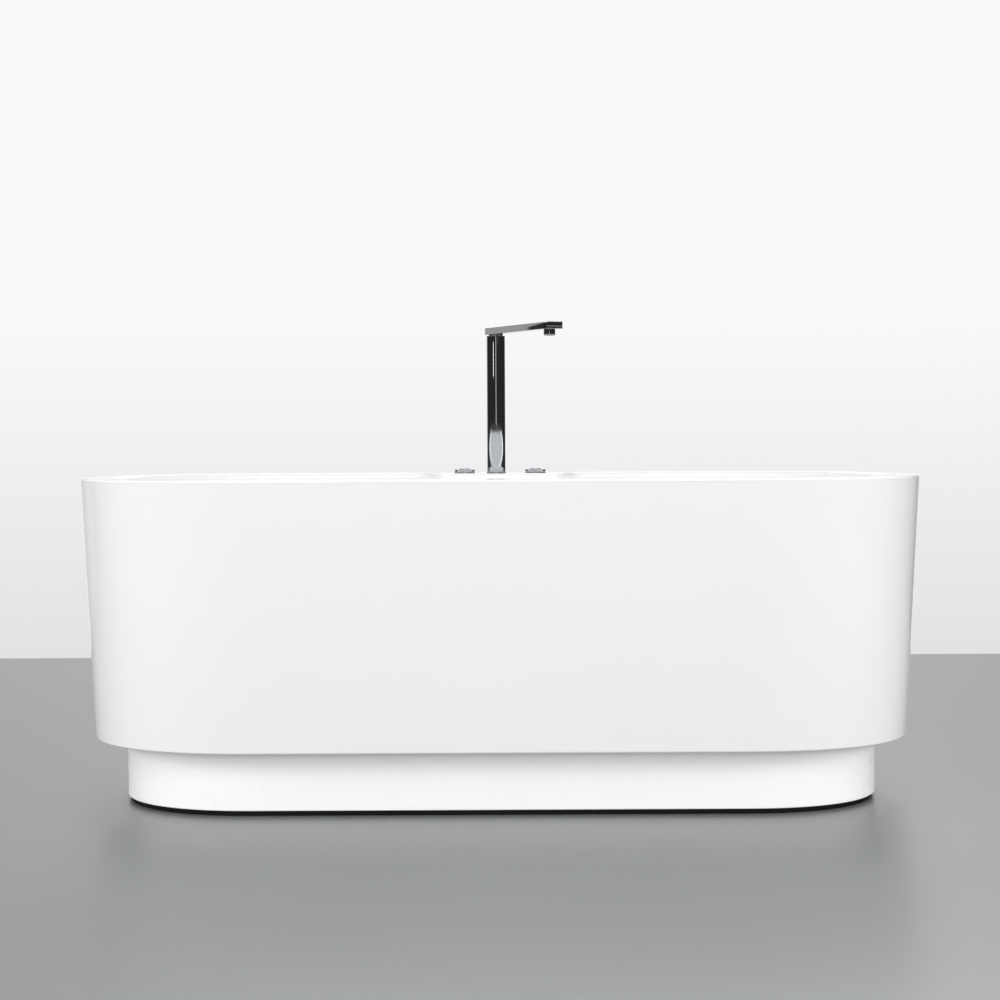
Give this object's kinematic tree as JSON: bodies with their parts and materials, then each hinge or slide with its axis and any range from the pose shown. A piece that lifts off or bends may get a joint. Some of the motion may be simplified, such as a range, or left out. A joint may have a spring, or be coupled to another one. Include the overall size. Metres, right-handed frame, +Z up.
{
  "type": "freestanding bathtub",
  "caption": "Double-ended freestanding bathtub with a shadow-gap plinth, a rear tap ledge, a swivelling column spout, two valve knobs and a pop-up waste.",
  "frame": {"origin": "on the floor, under the middle of the tub", "axes": "+X along the tub to the right, +Y across it towards the tap ledge, +Z up"},
  "size_m": [1.7, 0.75, 0.966],
  "materials": {
    "acrylic_basin": "gloss white, vacuum-formed acrylic",
    "acrylic_shell": "gloss white, vacuum-formed acrylic",
    "black_nylon": "moulded nylon",
    "black_seal": "matt black foam rubber",
    "black_sheath": "extruded sheath",
    "brass": "cast and turned",
    "chrome_plate": "polished, plated on brass",
    "copper": "drawn tube",
    "grey_hose": "corrugated polypropylene",
    "plinth_panel": "satin white",
    "plywood": "bare birch plywood",
    "rubber_seal": "matt",
    "stainless_steel": "turned",
    "white_acetal": "moulded acetal",
    "white_polypropylene": "moulded polypropylene",
    "zinc_steel": "zinc plated"
  },
  "bodies": {
    "tub": {"basin": "acrylic_basin", "outer_shell": "acrylic_shell", "base_board": "plywood", "ledge_board": "plywood", "rim_batten": "plywood", "plinth": "plinth_panel", "plinth_seal": "black_seal", "plinth_brackets": "zinc_steel", "front_rail": "zinc_steel", "rear_rail": "zinc_steel", "left_crossbeam": "zinc_steel", "right_crossbeam": "zinc_steel", "frame_bolts": "zinc_steel", "foot_pads": "black_nylon", "foot_rods": "zinc_steel", "foot_nuts": "zinc_steel", "bracket_screws": "zinc_steel", "drain_flange": "chrome_plate", "waste_seal": "rubber_seal", "waste_body": "white_polypropylene", "lift_pin": "stainless_steel", "trap_cup": "white_polypropylene", "trap_nut": "white_polypropylene", "outlet_pipe": "white_polypropylene", "outlet_nut": "white_polypropylene", "overflow_seal": "rubber_seal", "overflow_body": "white_polypropylene", "overflow_hose": "grey_hose", "plug_cable": "black_sheath", "spout_base_ring": "chrome_plate", "spout_column": "chrome_plate", "spout_shank": "brass", "spout_washer": "rubber_seal", "spout_nut": "brass", "spout_tee": "brass", "riser_tube": "copper", "swivel_bush": "white_acetal", "swivel_washer": "stainless_steel", "retaining_screw": "stainless_steel", "hot_ring": "chrome_plate", "hot_cartridge": "brass", "hot_valve": "brass", "cold_ring": "chrome_plate", "cold_cartridge": "brass", "cold_valve": "brass", "valve_nuts": "brass", "mixing_pipes": "copper", "supply_tails": "copper"},
    "spout": {"spout_arm": "chrome_plate", "spout_o_ring": "rubber_seal", "aerator_shell": "chrome_plate", "aerator_insert": "white_acetal"},
    "hot_handle": {"hot_knob": "chrome_plate"},
    "cold_handle": {"cold_knob": "chrome_plate"},
    "overflow_handle": {"overflow_knob": "chrome_plate", "overflow_spindle": "brass"},
    "lift_lever": {"lift_arm": "stainless_steel"},
    "plug": {"plug_cap": "chrome_plate", "plug_stem": "stainless_steel", "plug_seal": "rubber_seal"}
  },
  "joints": [
    {"name": "spout_swivel", "type": "hinge", "parent": "tub", "child": "spout", "pos_m": [-0.008, 0.305, 0.951], "axis": [0, 0, 1], "range_deg": [-99, 51]},
    {"name": "hot_knob_turn", "type": "hinge", "parent": "tub", "child": "hot_handle", "pos_m": [-0.077, 0.305, 0.652], "axis": [0, 0, 1], "range_deg": [0, 90]},
    {"name": "cold_knob_turn", "type": "hinge", "parent": "tub", "child": "cold_handle", "pos_m": [0.077, 0.305, 0.652], "axis": [0, 0, -1], "range_deg": [0, 90]},
    {"name": "overflow_knob_turn", "type": "hinge", "parent": "tub", "child": "overflow_handle", "pos_m": [0, 0.2, 0.558], "axis": [0, 1, 0], "range_deg": [0, 90]},
    {"name": "lift_lever_turn", "type": "hinge", "parent": "tub", "child": "lift_lever", "pos_m": [0, 0.015, 0.123], "axis": [-1, 0, 0], "range_deg": [0, 26]},
    {"name": "plug_lift", "type": "slide", "parent": "tub", "child": "plug", "axis": [0, 0, 1], "range_m": [0, 0.008]}
  ],
  "couplings": [
    {"joint": "lift_lever_turn", "follows": "overflow_knob_turn", "ratio": 0.2888},
    {"joint": "plug_lift", "follows": "overflow_knob_turn", "m_per_rad": 0.00509}
  ]
}
